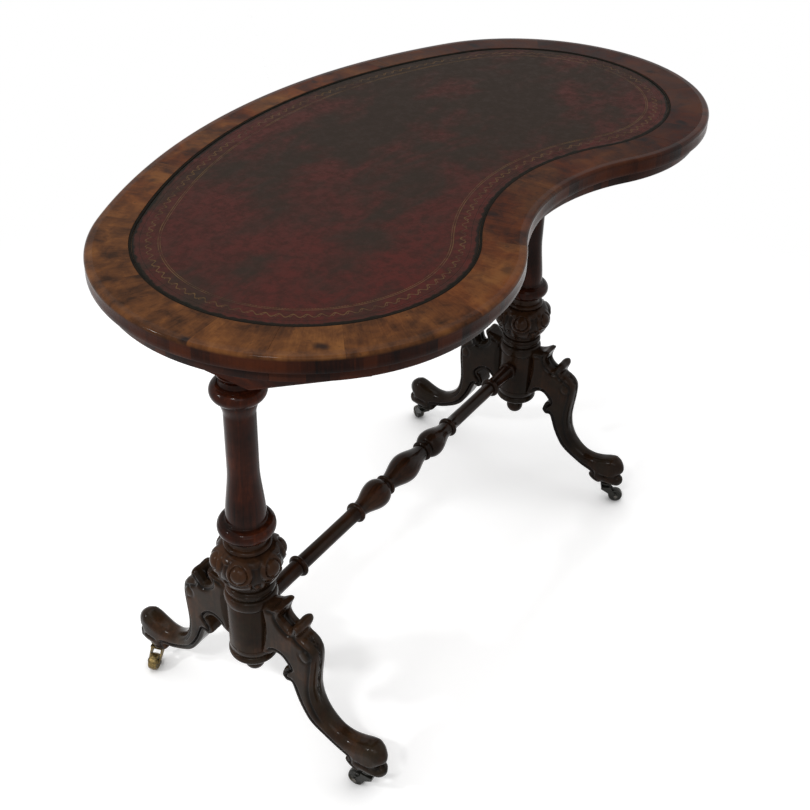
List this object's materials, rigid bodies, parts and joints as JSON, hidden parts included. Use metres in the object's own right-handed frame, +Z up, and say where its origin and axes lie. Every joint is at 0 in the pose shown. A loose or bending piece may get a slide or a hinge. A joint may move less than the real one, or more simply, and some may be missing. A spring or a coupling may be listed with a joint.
{
  "type": "kidney shaped desk",
  "caption": "Kidney shaped writing desk: leather inset top with burr crossbanding on two turned columns with scrolled legs, turned stretcher and brass castors.",
  "frame": {"origin": "on the floor, midway between the two columns, under the centre of the top's outer bounds", "axes": "+Z up, +X along the desk, -Y towards the sitter and the kneehole"},
  "size_m": [0.958, 0.5209, 0.702],
  "materials": {
    "burr_walnut": "french polished burr veneer, cut across the band",
    "frieze_walnut": "polished dark walnut veneer",
    "walnut": "polished dark walnut, worn low down",
    "carcase_pine": "unpolished softwood",
    "dark_string": "satin, ebonised",
    "leather": "worn, waxed, with blind and gilt tooling",
    "brass": "aged brass",
    "iron": "dull iron"
  },
  "bodies": {
    "desk": {"top_board": "carcase_pine", "edge_moulding": "burr_walnut", "crossband_kneehole": "burr_walnut", "crossband_front_right": "burr_walnut", "crossband_end_right": "burr_walnut", "crossband_back": "burr_walnut", "crossband_end_left": "burr_walnut", "crossband_front_left": "burr_walnut", "string_inlay": "dark_string", "leather_inset": "leather", "frieze_kneehole": "frieze_walnut", "frieze_front_right": "frieze_walnut", "frieze_end_right": "frieze_walnut", "frieze_back": "frieze_walnut", "frieze_end_left": "frieze_walnut", "frieze_front_left": "frieze_walnut", "bearer_left": "walnut", "bearer_screw_left_1": "iron", "bearer_screw_left_2": "iron", "bearer_screw_left_3": "iron", "bearer_screw_left_4": "iron", "column_left": "walnut", "vase_left": "walnut", "hub_left": "walnut", "base_disc_left": "walnut", "finial_left": "walnut", "bearer_right": "walnut", "bearer_screw_right_1": "iron", "bearer_screw_right_2": "iron", "bearer_screw_right_3": "iron", "bearer_screw_right_4": "iron", "column_right": "walnut", "vase_right": "walnut", "hub_right": "walnut", "base_disc_right": "walnut", "finial_right": "walnut", "leg_left_front": "walnut", "leg_left_back": "walnut", "leg_right_front": "walnut", "leg_right_back": "walnut", "stretcher": "walnut", "castor_plate_left_front": "brass", "castor_plate_left_back": "brass", "castor_plate_right_front": "brass", "castor_plate_right_back": "brass"},
    "castor_left_front": {"castor_fork_left_front": "brass", "castor_axle_left_front": "iron"},
    "wheel_left_front": {"castor_wheel_left_front": "brass"},
    "castor_left_back": {"castor_fork_left_back": "brass", "castor_axle_left_back": "iron"},
    "wheel_left_back": {"castor_wheel_left_back": "brass"},
    "castor_right_front": {"castor_fork_right_front": "brass", "castor_axle_right_front": "iron"},
    "wheel_right_front": {"castor_wheel_right_front": "brass"},
    "castor_right_back": {"castor_fork_right_back": "brass", "castor_axle_right_back": "iron"},
    "wheel_right_back": {"castor_wheel_right_back": "brass"}
  },
  "joints": [
    {"name": "castor_swivel_left_front", "type": "hinge", "parent": "desk", "child": "castor_left_front", "pos_m": [-0.338, -0.18, 0], "axis": [0, 0, 1], "continuous": true},
    {"name": "wheel_roll_left_front", "type": "hinge", "parent": "castor_left_front", "child": "wheel_left_front", "pos_m": [-0.33948, -0.16306, 0.0115], "axis": [-0.9962, -0.0872, 0], "continuous": true},
    {"name": "castor_swivel_left_back", "type": "hinge", "parent": "desk", "child": "castor_left_back", "pos_m": [-0.338, 0.18, 0], "axis": [0, 0, 1], "continuous": true},
    {"name": "wheel_roll_left_back", "type": "hinge", "parent": "castor_left_back", "child": "wheel_left_back", "pos_m": [-0.35397, 0.17419, 0.0115], "axis": [0.342, -0.9397, 0], "continuous": true},
    {"name": "castor_swivel_right_front", "type": "hinge", "parent": "desk", "child": "castor_right_front", "pos_m": [0.338, -0.18, 0], "axis": [0, 0, 1], "continuous": true},
    {"name": "wheel_roll_right_front", "type": "hinge", "parent": "castor_right_front", "child": "wheel_right_front", "pos_m": [0.3465, -0.19472, 0.0115], "axis": [0.866, 0.5, 0], "continuous": true},
    {"name": "castor_swivel_right_back", "type": "hinge", "parent": "desk", "child": "castor_right_back", "pos_m": [0.338, 0.18, 0], "axis": [0, 0, 1], "continuous": true},
    {"name": "wheel_roll_right_back", "type": "hinge", "parent": "castor_right_back", "child": "wheel_right_back", "pos_m": [0.3465, 0.19472, 0.0115], "axis": [-0.866, 0.5, 0], "continuous": true}
  ]
}
